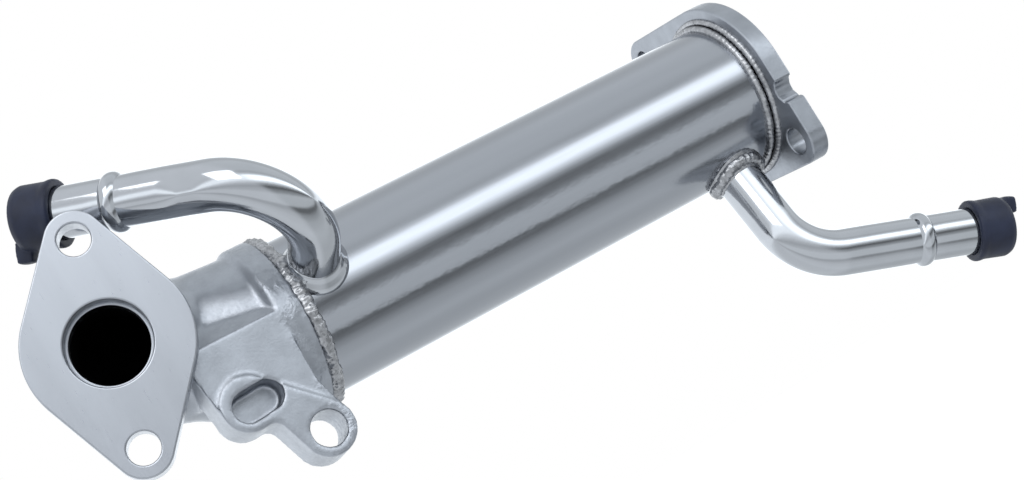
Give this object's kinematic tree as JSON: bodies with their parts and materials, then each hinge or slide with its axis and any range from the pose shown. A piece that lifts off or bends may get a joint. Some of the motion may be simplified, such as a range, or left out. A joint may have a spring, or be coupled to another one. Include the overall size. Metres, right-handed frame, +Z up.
{
  "type": "exhaust gas recirculation cooler",
  "caption": "Round shell-and-tube exhaust gas cooler with a cast elbow inlet flange and bracket, a flat outlet flange and two capped coolant pipes",
  "frame": {"origin": "centre of the outlet flange's mating face, on the axis of the round shell", "axes": "+X along the shell out of the outlet flange, +Z up towards the capped inlet pipe, the inlet flange and the bracket face look towards -Y"},
  "size_m": [0.3011, 0.0967, 0.1602],
  "materials": {
    "cast_steel": "blasted cast stainless steel, satin",
    "shell_steel": "brushed stainless steel tube",
    "machined_steel": "machined stainless steel plate",
    "pipe_steel": "drawn stainless steel tube, near polished",
    "weld_steel": "uneven weld and braze metal",
    "plate_steel": "dark oxidised stainless steel",
    "tube_steel": "dark oxidised stainless steel",
    "cap_rubber": "dark blue moulded rubber, satin"
  },
  "bodies": {
    "root": {"inlet_casting": "cast_steel", "shell": "shell_steel", "outlet_flange": "machined_steel", "front_tube_plate": "plate_steel", "rear_tube_plate": "plate_steel", "coolant_inlet_pipe": "pipe_steel", "coolant_outlet_pipe": "pipe_steel", "coolant_inlet_braze": "weld_steel", "coolant_outlet_braze": "weld_steel", "front_weld": "weld_steel", "rear_weld": "weld_steel", "coolant_inlet_cap": "cap_rubber", "coolant_outlet_cap": "cap_rubber", "gas_tube_01": "tube_steel", "gas_tube_02": "tube_steel", "gas_tube_03": "tube_steel", "gas_tube_04": "tube_steel", "gas_tube_05": "tube_steel", "gas_tube_06": "tube_steel", "gas_tube_07": "tube_steel"}
  },
  "joints": []
}
